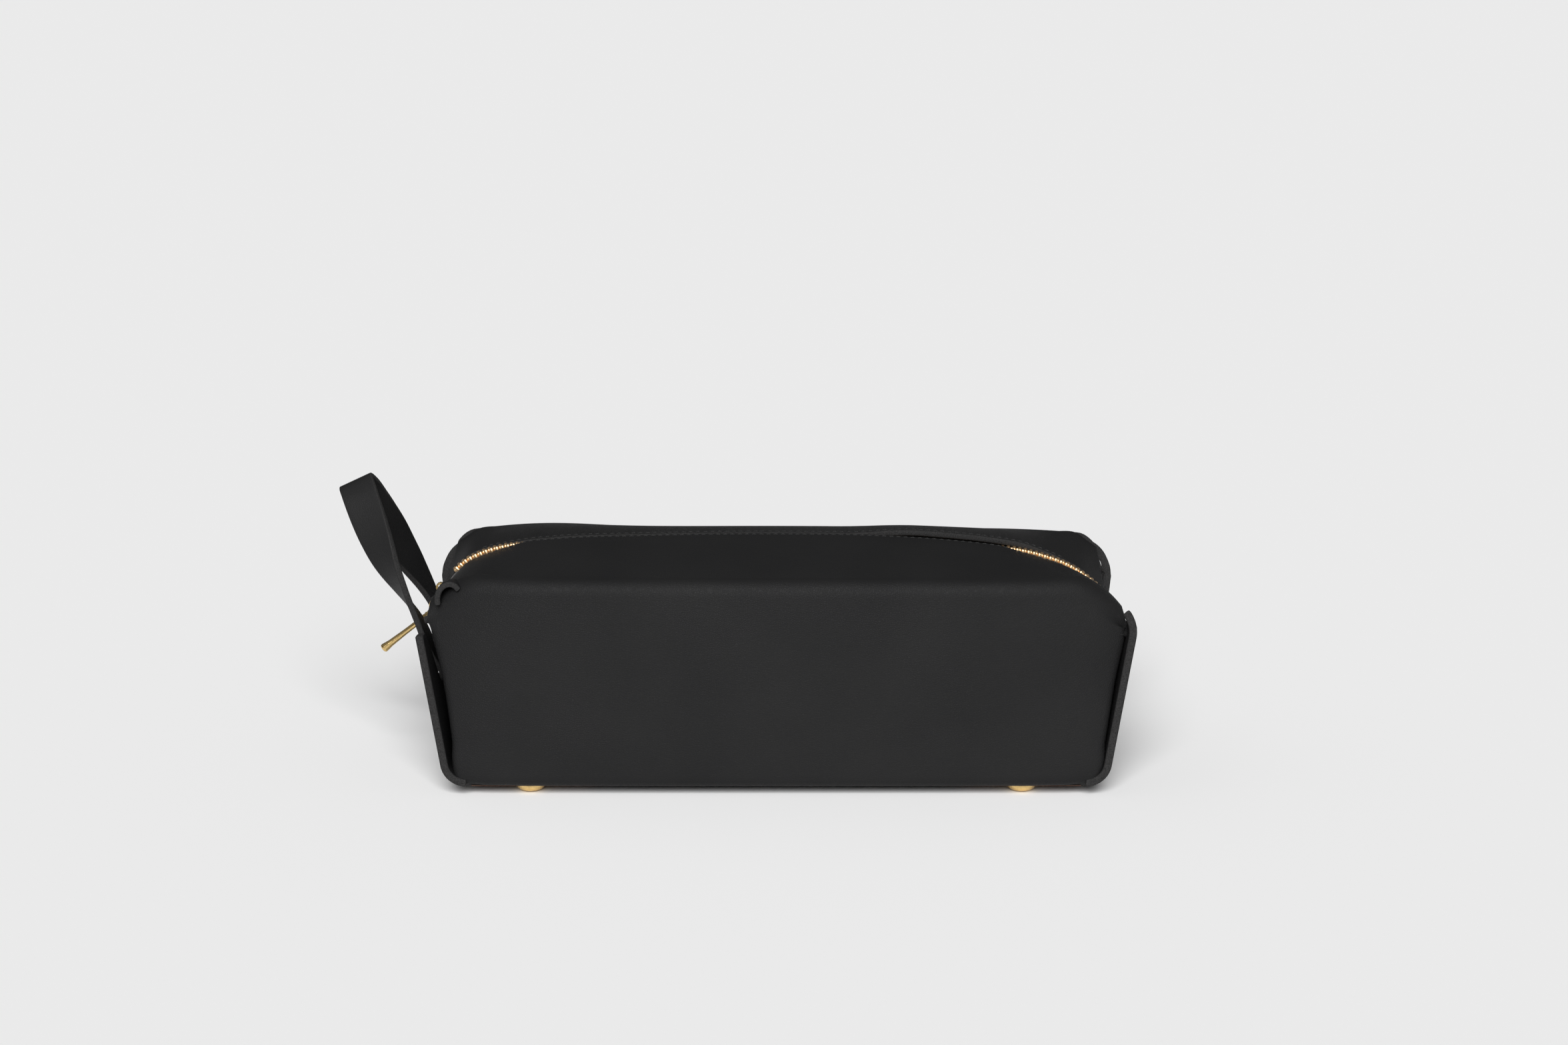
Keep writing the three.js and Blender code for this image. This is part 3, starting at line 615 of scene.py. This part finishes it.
def flap_surface(face, stations=31):
    """The flap from the crease at v = 0 to its edge along the zip at v = 1."""
    edge_v = 0.0 if face < 0 else 1.0
    crease_u = np.linspace(-1, 1, stations)
    quarter = FOLD_RADIUS * math.pi / 2
    top = float(PROFILE[0 if face < 0 else -1, 1])
    tuck, half = float(table(TUCK, top)), float(table(FACE_HALF, top))
    ratio = 1 - tuck / (half - FOLD_RADIUS + quarter + tuck)
    crease = wrap_surface((crease_u * ratio + 1) / 2, np.full(stations, edge_v))
    lip_end = np.where(crease_u < 0, LIP_END[-1], LIP_END[1])
    lip_x = lip_end * np.sign(crease_u) * np.abs(crease_u) ** LIP_SPREAD
    lip_z = table(LIP[1:-1], np.clip(lip_x, -121, 121))
    if face < 0:
        lip_z = lip_z - FRONT_LIP_DROP[-1] * ramp(-lip_x, 92, 9) - FRONT_LIP_DROP[1] * ramp(lip_x, 82, 10)
    raised = BACK_LIP_RAISE if face > 0 else 0.0
    bow = raised * ramp(lip_x, 24, 26) * (1 - ramp(lip_x, 82, 24))
    lip = np.stack([lip_x, face * (lip_gap(lip_x) + 0.2 * bow), lip_z + bow], -1)

    def control(v):
        s = v[None, :, None]
        crown = FLAP_CROWN * np.sin(math.pi * s) * (1 - (crease_u[:, None, None]) ** 4)
        body = crease[:, None] * (1 - s) + lip[:, None] * s
        return body + np.array([0, 0, 1.0]) * crown

    def surface(grid_u, grid_v):
        return rows_of(control(grid_v[0]), grid_u[:, 0])

    return surface


def follow_flap(piece):
    """Bakes the piece's placement into its mesh; the piece is not tied to the body or to a hinge."""
    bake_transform(piece)


def flap_half(face_name, face, side_name, side):
    whole = flap_surface(face)

    def surface(grid_u, grid_v):
        return whole(0.5 * grid_u if side < 0 else 0.5 + 0.5 * grid_u, grid_v)

    made = leather_sheet(f"top_leather_{face_name}_{side_name}", surface, (150, 40), (110, 34), [HIDE, RAW],
                         thickness=FLAP_LEATHER, cut="ad" if side < 0 else "bd", rounding=0.8, side=-face)
    follow_flap(made)
    return made


def top_leather():
    for face_name, face in FACES:
        halves = [flap_half(face_name, face, *side) for side in SIDES]
        fixed_ends = [f"flap_end_{face_name}_{side}" for side, _ in SIDES]
        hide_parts(f"top_flap_{face_name}", *fixed_ends)


def ear():
    """The end of the front flap, rolled over into a small tunnel at the left corner."""
    arch = [(-118.9, 68.6), (-119.0, 71.2), (-118.0, 74.3), (-115.6, 76.5),
            (-112.8, 76.9), (-111.0, 76.0), (-109.8, 74.6)]
    front, length = -41.6, 21

    def surface(u, v):
        line = polyline_spline(arch, u[:, 0])
        x = np.repeat(line[:, :1], u.shape[1], 1)
        z = np.repeat(line[:, 1:], u.shape[1], 1)
        return np.stack([x, front + length * v, z - 4.5 * v**2 - 0.6 * v], -1)

    made = leather_sheet("flap_ear_front_left", surface, (22, 21), (40, 16), [HIDE, RAW], thickness=2.0,
                         rounding=0.6)
    follow_flap(made)


# ---------- end panels ----------
def panel_path(distance):
    """Points (x, z) on the panel's outer line: round the bend at its foot, up, and in at the horn.

    Also returns the length of the line up to where the horn starts.
    """
    cx, cz, radius = PANEL_BEND
    bend = radius * (math.pi / 2 - PANEL_LEAN)
    bend_z = cz - radius * math.sin(PANEL_LEAN)
    rise = (PANEL_TOP - bend_z) / math.cos(PANEL_LEAN)
    angle = np.clip(distance / radius, 0, math.pi / 2 - PANEL_LEAN) - math.pi / 2
    up = np.clip(distance - bend, 0, rise)
    turn = np.clip((distance - bend - rise) / HORN_RADIUS, 0, None)
    x = cx + radius * np.cos(angle)
    z = cz + radius * np.sin(angle)
    x = x + up * math.sin(PANEL_LEAN) + HORN_RADIUS * (np.cos(turn - PANEL_LEAN) - math.cos(PANEL_LEAN))
    z = z + up * math.cos(PANEL_LEAN) + HORN_RADIUS * (np.sin(turn - PANEL_LEAN) + math.sin(PANEL_LEAN))
    return x, z, bend + rise


def panel_face(z):
    """x of the right end panel's straight outer face at height z."""
    return PANEL_FACE_X + (z - PANEL_FACE_Z) * math.tan(PANEL_LEAN)


def end_panel(side_name, side):
    full = panel_path(np.array(0.0))[2]

    def surface(u, v):
        y = (2 * u - 1) * PANEL_HALF
        height = ramp(np.abs(y), PANEL_HALF - HORN_WIDTH, HORN_WIDTH)
        scoop = SCOOP_DEPTH * (1 - ramp(np.abs(y), SCOOP_FLAT, SCOOP_SLOPE))
        sweep = np.where(y < 0, HORN_SWEEP[side_name, -1], HORN_SWEEP[side_name, 1])
        length = full + HORN_RADIUS * sweep * height - scoop
        x, z, _ = panel_path(v * length)
        middle = 1 - (y / PANEL_HALF) ** 2
        hollow = PANEL_HOLLOW * middle * np.sin(math.pi * np.clip(z / 60, 0, 1))
        return np.stack([side * (x - hollow), y, z], -1)

    made = leather_sheet(f"end_leather_{side_name}", surface, (92, 75), (64, 74), [HIDE, RAW], rounding=0.7,
                         side=side)
    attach(made, "bag_body")
    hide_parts(f"end_panel_{side_name}")


# ---------- gussets ----------
def gusset(face_name, face, side_name, side):
    """A thin fold between the body's end and the end panel."""
    def surface(u, v):
        z = GUSSET_LOW + GUSSET_HEIGHT * v
        half = table(FACE_HALF, z)
        panel = panel_face(z) - LEATHER - GUSSET_CLEARANCE[side]
        depth = 3 + 12 * smooth((z - GUSSET_LOW) / 54)
        line = [(half - 5.5, 36.2), (half - 3 - depth, 31.5), (half - 2.5 - depth, 31.0), (panel - 0.5, 39.5)]
        t = u * (len(line) - 1)
        x = np.zeros_like(z)
        y = np.zeros_like(z)
        for k, (px, py) in enumerate(line):
            weight = np.clip(1 - np.abs(t - k), 0, 1)
            x = x + weight * px
            y = y + weight * py
        return np.stack([side * x, face * y, z], -1)

    made = leather_sheet(f"gusset_leather_{face_name}_{side_name}", surface, (30, 62), (24, 24), [HIDE, RAW],
                         thickness=GUSSET_LEATHER, rounding=0.4, side=side * face)
    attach(made, "bag_body")
    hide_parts(f"gusset_{face_name}_{side_name}")


# ---------- zip ----------
def zip_points(count):
    """Evenly spaced points (x, z) along the closed zip, and the direction there."""
    lip = polyline_spline(LIP, np.linspace(0, 1, 1200))
    length = np.concatenate([[0], np.cumsum(np.linalg.norm(np.diff(lip, axis=0), axis=1))])
    at = np.linspace(ZIP_MARGIN, length[-1] - ZIP_MARGIN, count)
    x = np.interp(at, length, lip[:, 0])
    z = np.interp(at, length, lip[:, 1]) - 1.3 - 1.0 * ramp(x, -96, 12) * (1 - ramp(x, 76, 10))
    direction = np.gradient(np.stack([x, z], -1), axis=0)
    direction /= np.linalg.norm(direction, axis=1, keepdims=True)
    return x, z, direction


# A tooth's outline across, and its sections: how far it reaches, half its width and half its height.
OCTAGON = ((-1, -0.6), (-0.6, -1), (0.6, -1), (1, -0.6), (1, 0.6), (0.6, 1), (-0.6, 1), (-1, 0.6))
TOOTH_SECTIONS = ((-0.55, 0.34, 0.65), (-0.35, 0.5, 1.0), (0.25, 0.52, 1.05),
                  (0.6, 0.64, 1.25), (1.5, 0.68, 1.3), (1.75, 0.5, 1.0))


def tooth(x, z, along, face):
    """A rounded block with a narrow head that reaches past the middle, clamped on the tape's cord."""
    up = np.array([-along[1], 0, along[0]])
    ahead = np.array([along[0], 0, along[1]])
    out = np.array([0, face, 0.0])
    centre = np.array([x, 0, z])
    vertices = []
    for reach, wide, tall in TOOTH_SECTIONS:
        for a, b in OCTAGON:
            vertices.append(centre + out * reach + ahead * wide * a + up * tall * b)
    sides = len(OCTAGON)
    faces = []
    for k in range(len(TOOTH_SECTIONS) - 1):
        for i in range(sides):
            j = (i + 1) % sides
            faces.append((k * sides + i, k * sides + j, (k + 1) * sides + j, (k + 1) * sides + i))
    faces.append(tuple(range(sides - 1, -1, -1)))
    faces.append(tuple(len(vertices) - sides + i for i in range(sides)))
    return np.array(vertices), faces


def zip_side(face_name, face):
    """One tape with its teeth. The two tapes' teeth take turns along the zip."""
    x, z, along = zip_points(TEETH * 2)
    first = 0 if face < 0 else 1
    for side_name, side in SIDES:
        chosen = [i for i in range(first, 2 * TEETH, 2) if (x[i] < 0) == (side < 0) and z[i] > LOWEST_TOOTH_Z]
        if side < 0:
            chosen = [i for i in chosen if x[i] > FIRST_TOOTH_X]
        vertices, faces = joined([tooth(x[i], z[i], along[i], face) for i in chosen])
        teeth = mesh_object(f"zip_teeth_{face_name}_{side_name}_row", vertices, faces, [TOOTH_GOLD])
        follow_flap(teeth)
        tape = tape_half(face_name, face, side_name, side)
        if side < 0:
            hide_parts(f"zip_teeth_{face_name}")
            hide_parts(f"zip_tape_{face_name}")
        if face < 0:
            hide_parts(f"zip_tail_{side_name}")


def tape_half(face_name, face, side_name, side):
    lip = polyline_spline(LIP, np.linspace(0, 1, 400))
    half = lip[lip[:, 0] <= 0.01] if side < 0 else lip[lip[:, 0] >= -0.01]

    def surface(u, v):
        k = u * (len(half) - 1)
        x = np.interp(k, np.arange(len(half)), half[:, 0])
        z = np.interp(k, np.arange(len(half)), half[:, 1])
        y = TAPE_START + TAPE_WIDTH * v
        return np.stack([x, face * y, z - 1.6 - 1.6 * ramp(y, 2, 3) - 0.16 * y], -1)

    made = leather_sheet(f"zip_tape_{face_name}_{side_name}_half", surface, (140, 9), (110, 10), [TAPE, TAPE],
                         thickness=TAPE_THICKNESS, cut="cd", rounding=0.2, side=face)
    follow_flap(made)
    return made


def stitches(face_name, face):
    """A row of black stitches along each flap, about two millimetres from its edge."""
    whole = flap_surface(face)
    pitch, long, inset, radius, points = 2.6, 1.9, 0.95, 0.17, 7
    arch = np.sin(np.linspace(0, math.pi, points))[:, None]
    radii = radius * np.sqrt(np.clip(arch[:, 0], 0.15, 1))
    u = np.linspace(0.06, 0.94, 1200)
    line = whole(u[:, None].repeat(2, 1), np.array([[inset, inset + 0.01]]).repeat(len(u), 0))
    normal = grid_normals(line)[:, 0] * -face
    line = line[:, 0]
    length = np.concatenate([[0], np.cumsum(np.linalg.norm(np.diff(line, axis=0), axis=1))])
    for side_name, side in SIDES:
        parts = []
        for start in np.arange(0, length[-1] - pitch, pitch):
            t = start + np.linspace(0, long, points)
            p = np.stack([np.interp(t, length, line[:, i]) for i in range(3)], -1)
            n = np.stack([np.interp(t, length, normal[:, i]) for i in range(3)], -1)
            if (p[points // 2, 0] < 0) == (side < 0):
                parts.append(swept(p + n * (0.2 * arch - 0.12), radii, 6))
        vertices, faces = joined(parts)
        made = mesh_object(f"stitches_{face_name}_{side_name}", vertices, faces, [THREAD])
        follow_flap(made)


# ---------- brown edge under the front ----------
def base_edge():
    """The undyed edge of a thin sheet glued under the body, seen as a brown line above the feet."""
    half_length, half_width, level = 107.5, 43.8, 3.56

    def surface(u, v):
        return np.stack([(2 * u - 1) * half_length, (2 * v - 1) * half_width, np.full_like(u, level)], -1)

    made = leather_sheet("base_edge_leather", surface, (2 * half_length, 2 * half_width), (40, 16),
                         [BROWN, BROWN], thickness=0.3, rounding=0.12)
    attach(made, "bag_body")


# ---------- strap ----------
def panel_back(z):
    """x of the strap where it lies against the inside of the left end panel."""
    return -(panel_face(z) - LEATHER - STRAP_CLEARANCE - STRAP_THICKNESS / 2)


# The strap's middle line: one leg from the base up to the loop, and the loop's highest point.
STRAP_LEG = [(panel_back(24), 19, 24), (panel_back(33), 19, 33), (-118.3, 19, 38.8), (-121, 19, 42.8),
             (-123.7, 19, 48), (-127.4, 19, 57), (-133.2, 18.5, 67.8), (-138.4, 16.5, 77), (-142.7, 13, 86),
             (-146.6, 8.5, 94.5), (-149.6, 3.8, 101)]
STRAP_TIP = (-151, 0, 103.4)
STRAP_TIP_ACROSS = np.array([0.905, 0, 0.425])


def strap_surface(u, v):
    """u across the strap, v along it from the front leg to the back leg. It twists towards its tip."""
    front = [(x, -y, z) for x, y, z in STRAP_LEG]
    line = np.array(front + [STRAP_TIP] + STRAP_LEG[::-1])
    t = v[0]
    centre = polyline_spline(line, t)
    tangent = polyline_spline(line, np.clip(t + 1e-3, 0, 1)) - polyline_spline(line, np.clip(t - 1e-3, 0, 1))
    tangent /= np.linalg.norm(tangent, axis=1, keepdims=True)
    rise = ramp(centre[:, 2], 50, 53)
    turn = np.where(t < 0.5, math.pi / 2 * rise, math.pi - math.pi / 2 * rise)
    width = np.sin(turn)[:, None] * STRAP_TIP_ACROSS - np.cos(turn)[:, None] * np.array([0, 1.0, 0])
    width -= tangent * np.sum(width * tangent, axis=1, keepdims=True)
    width /= np.linalg.norm(width, axis=1, keepdims=True)
    normal = np.cross(tangent, width)
    across = (u - 0.5)[..., None] * STRAP_WIDTH
    return centre[None] + width[None] * across + normal[None] * STRAP_THICKNESS / 2


def strap():
    made = leather_sheet("strap_leather", strap_surface, (STRAP_WIDTH, 200), (12, 180), [HIDE, RAW],
                         thickness=STRAP_THICKNESS, rounding=0.6, side=-1)
    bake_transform(made)
    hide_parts("wrist_strap", "strap_tab_front", "strap_tab_back")


# ---------- metal ----------
FOOT_Y = 37.0
FOOT_PROFILE = [(0, 0), (2.2, 0.0), (2.6, 0.04), (4.2, 0.5), (5.1, 1.3), (5.55, 2.3),
                (5.6, 2.9), (5.4, 3.25), (1.5, 3.25), (1.5, 9.9), (0, 9.9)]


def feet():
    """Domed studs, each with a shank that goes up through the leather."""
    for face_name, face in FACES:
        for side_name, _ in SIDES:
            low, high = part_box(f"foot_{face_name}_{side_name}")
            centre = ((low.x + high.x) / 2 - MIDDLE_X) * 1000, face * FOOT_Y, 0
            made = revolved(f"foot_stud_{face_name}_{side_name}", FOOT_PROFILE, centre, (0, 0, 1), [GOLD], 40)
            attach(made, "bag_body")
            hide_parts(f"foot_{face_name}_{side_name}")


# x and z of the two pivots of the link, and of the pull's tip.
LUG_PIVOT, EYE_PIVOT, PULL_TIP = (-121.553, 64.637), (-122.6, 57.3), (-143.2, 41.4)
LINK_RADIUS, LINK_WIRE = 2.2, 0.6
EYE_RADIUS, EYE_WIRE = 2.9, 0.65


def link():
    """The wire ring between the slider's lug and the pull."""
    top, bottom = np.array(LUG_PIVOT), np.array(EYE_PIVOT)
    centre, axis = (top + bottom) / 2, (bottom - top) / np.linalg.norm(bottom - top)
    straight = np.linalg.norm(bottom - top) / 2 - LINK_RADIUS + 0.35
    turn = np.linspace(0, 2 * math.pi, 48, endpoint=False)
    along = LINK_RADIUS * np.cos(turn) + np.sign(np.cos(turn)) * straight
    across = LINK_RADIUS * np.sin(turn)
    path = np.stack([centre[0] + along * axis[0], across, centre[1] + along * axis[1]], -1)
    vertices, faces = swept(path, LINK_WIRE, 14, closed=True, up=(axis[1], 0, -axis[0]))
    made = mesh_object("link_ring", vertices, facing_out(vertices, faces), [GOLD])
    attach(made, "link")
    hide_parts("pull_link")


def pull():
    """A slim rod with a collar and a flared end, hanging by a round eye."""
    eye, tip = (np.array([x, 0, z]) for x, z in (EYE_PIVOT, PULL_TIP))
    axis = (tip - eye) / np.linalg.norm(tip - eye)
    length = np.linalg.norm(tip - eye)
    turn = np.linspace(0, 2 * math.pi, 40, endpoint=False)
    circle = np.cos(turn)[:, None] * np.array([1, 0, 0]) + np.sin(turn)[:, None] * np.array([0, 0, 1])
    ring = swept(eye + EYE_RADIUS * circle, EYE_WIRE, 14, closed=True)
    # Distance from the eye's middle, and radius: the neck, the collar's grooves, the rod, its flared end.
    stations = [(EYE_RADIUS, 0.8), (3.4, 1.15), (4.0, 1.3), (4.6, 1.05), (5.2, 1.3), (5.8, 1.05), (6.6, 1.2),
                (8.0, 0.95), (length * 0.6, 1.0), (length - 3.5, 1.25), (length - 1.0, 1.6),
                (length - 0.35, 1.62), (length, 1.3)]
    rod = swept([eye + axis * at for at, _ in stations], [radius for _, radius in stations], 20)
    vertices, faces = joined([ring, rod])
    made = mesh_object("pull_rod", vertices, faces, [GOLD])
    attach(made, "pull")
    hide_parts("zip_pull")


# ---------- lining ----------
LINING_HALF, LINING_DEPTH, LINING_TOP, LINING_FLOOR, LINING_CORNER = 100.0, 42.2, 66.0, 10.6, 7.0
LINING_THICKNESS = 0.8


def lining_profile():
    """Points (y, z) down the front wall, over the floor and up the back wall."""
    turn = np.linspace(0, math.pi / 2, 9)
    y = LINING_DEPTH - LINING_CORNER + LINING_CORNER * np.cos(turn)
    z = LINING_FLOOR + LINING_CORNER - LINING_CORNER * np.sin(turn)
    back = [(LINING_DEPTH, LINING_TOP), *zip(y, z)]
    return np.array([(-a, b) for a, b in back] + back[::-1])


def lining():
    """A cloth trough and its two end walls, with soft folds."""
    profile = lining_profile()
    length = np.concatenate([[0], np.cumsum(np.linalg.norm(np.diff(profile, axis=0), axis=1))])

    def trough(u, v):
        x = (2 * u - 1) * LINING_HALF
        y = np.interp(v * length[-1], length, profile[:, 0])
        z = np.interp(v * length[-1], length, profile[:, 1])
        fold = 0.35 * np.sin(x / 7.5 + z / 11) * ramp(z, LINING_FLOOR, 20)
        return np.stack([x, y - np.sign(y) * (0.5 + fold), z], -1)

    def end_wall(side):
        def surface(u, v):
            y = (2 * u - 1) * (LINING_DEPTH - 0.6)
            in_corner = np.clip(np.abs(y) - LINING_DEPTH + LINING_CORNER, 0, LINING_CORNER)
            corner = LINING_CORNER - np.sqrt(np.clip(LINING_CORNER**2 - in_corner**2, 0, None))
            low = LINING_FLOOR + corner
            high = LINING_TOP - 12.4 * (1 - ramp(np.abs(y), 7.5, 3))
            z = low + (high - low) * v
            bulge = 0.5 * np.sin(y / 8) * np.sin(math.pi * v)
            return np.stack([side * (LINING_HALF - 0.2 - bulge - 0.3), y, z], -1)
        return surface

    pieces = [leather_sheet("lining_trough", trough, (200, length[-1]), (60, 60), [CLOTH, CLOTH],
                            thickness=LINING_THICKNESS, cut="cd", rounding=0.3)]
    for side_name, side in SIDES:
        pieces.append(leather_sheet(f"lining_end_{side_name}", end_wall(side), (83, 55), (44, 20),
                                    [CLOTH, CLOTH], thickness=LINING_THICKNESS, rounding=0.3, side=-side))
    for made in pieces:
        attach(made, "bag_body")
    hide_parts("lining")


def keep_cad(material, *nodes):
    """Leaves CAD nodes showing, with a material of their own."""
    for node in nodes:
        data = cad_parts[node].data
        data.materials.clear()
        data.materials.append(material)


def inner_parts():
    keep_cad(BOARD, "base_board")
    keep_cad(GOLD, *(f"foot_washer_{face}_{side}" for face, _ in FACES for side, _ in SIDES))
    keep_cad(GOLD, "zip_slider")


# ---------- studio ----------
AMBIENT, KEY, FILL = 0.10, 3.9, 0.12
FLOOR_ALBEDO = 0.94
FLOOR_REACH = 40.0  # metres, so that its edge is never seen


def studio():
    """A pale floor under an even white sky, a wide key light from the front and a weak fill."""
    scene = bpy.context.scene
    scene.view_settings.view_transform = "Standard"
    world = bpy.data.worlds.new("studio")
    world.use_nodes = True
    world.node_tree.nodes["Background"].inputs["Color"].default_value = (1, 1, 1, 1)
    world.node_tree.nodes["Background"].inputs["Strength"].default_value = AMBIENT
    scene.world = world
    material, _, shader = node_material("studio_floor")
    shader.inputs["Base Color"].default_value = (FLOOR_ALBEDO, FLOOR_ALBEDO, FLOOR_ALBEDO, 1)
    shader.inputs["Roughness"].default_value = 1.0
    shader.inputs["Specular IOR Level"].default_value = 0.0
    data = bpy.data.meshes.new("floor")
    corners = [(FLOOR_REACH * x, FLOOR_REACH * y, 0) for x, y in ((-1, -1), (1, -1), (1, 1), (-1, 1))]
    data.from_pydata(corners, [], [(0, 1, 2, 3)])
    data.materials.append(material)
    floor = bpy.data.objects.new("floor", data)
    scene.collection.objects.link(floor)
    soft_sun("key_light", (-0.03, -1.0, 0.75), math.radians(38), KEY)
    soft_sun("fill_light", (-0.6, 0.1, 1.0), math.radians(70), FILL)


def soft_sun(name, towards, angle, strength):
    """A very wide sun: even light on the whole floor, with soft shadows."""
    light = bpy.data.lights.new(name, "SUN")
    light.angle = angle
    light.energy = strength
    holder = bpy.data.objects.new(name, light)
    holder.rotation_euler = Vector(towards).to_track_quat("Z", "Y").to_euler()
    bpy.context.scene.collection.objects.link(holder)


# The camera stands this far from a point in the middle of the bag, this high, and looks down by CAMERA_PITCH.
CAMERA_DISTANCE, CAMERA_ELEVATION, CAMERA_PITCH = 1073.0, math.radians(15.5), math.radians(12.97)
CAMERA_X, AIM_HEIGHT = 2.8, 40
SENSOR_WIDTH, LENS = 36, 67.530612


def camera():
    data = bpy.data.cameras.new("camera")
    data.sensor_width = SENSOR_WIDTH
    data.lens = LENS
    data.clip_end = 200
    data.dof.use_dof = False
    holder = bpy.data.objects.new("camera", data)
    back = CAMERA_DISTANCE * math.cos(CAMERA_ELEVATION)
    up = CAMERA_DISTANCE * math.sin(CAMERA_ELEVATION)
    holder.location = place(CAMERA_X, -back, AIM_HEIGHT + up)
    holder.rotation_euler = (math.pi / 2 - CAMERA_PITCH, 0, 0)
    bpy.context.scene.collection.objects.link(holder)
    bpy.context.scene.camera = holder


camera()
studio()
body_leather()
top_leather()
ear()
for side_name, side in SIDES:
    end_panel(side_name, side)
    for face_name, face in FACES:
        gusset(face_name, face, side_name, side)
for face_name, face in FACES:
    zip_side(face_name, face)
    stitches(face_name, face)
base_edge()
strap()
feet()
link()
pull()
lining()
inner_parts()
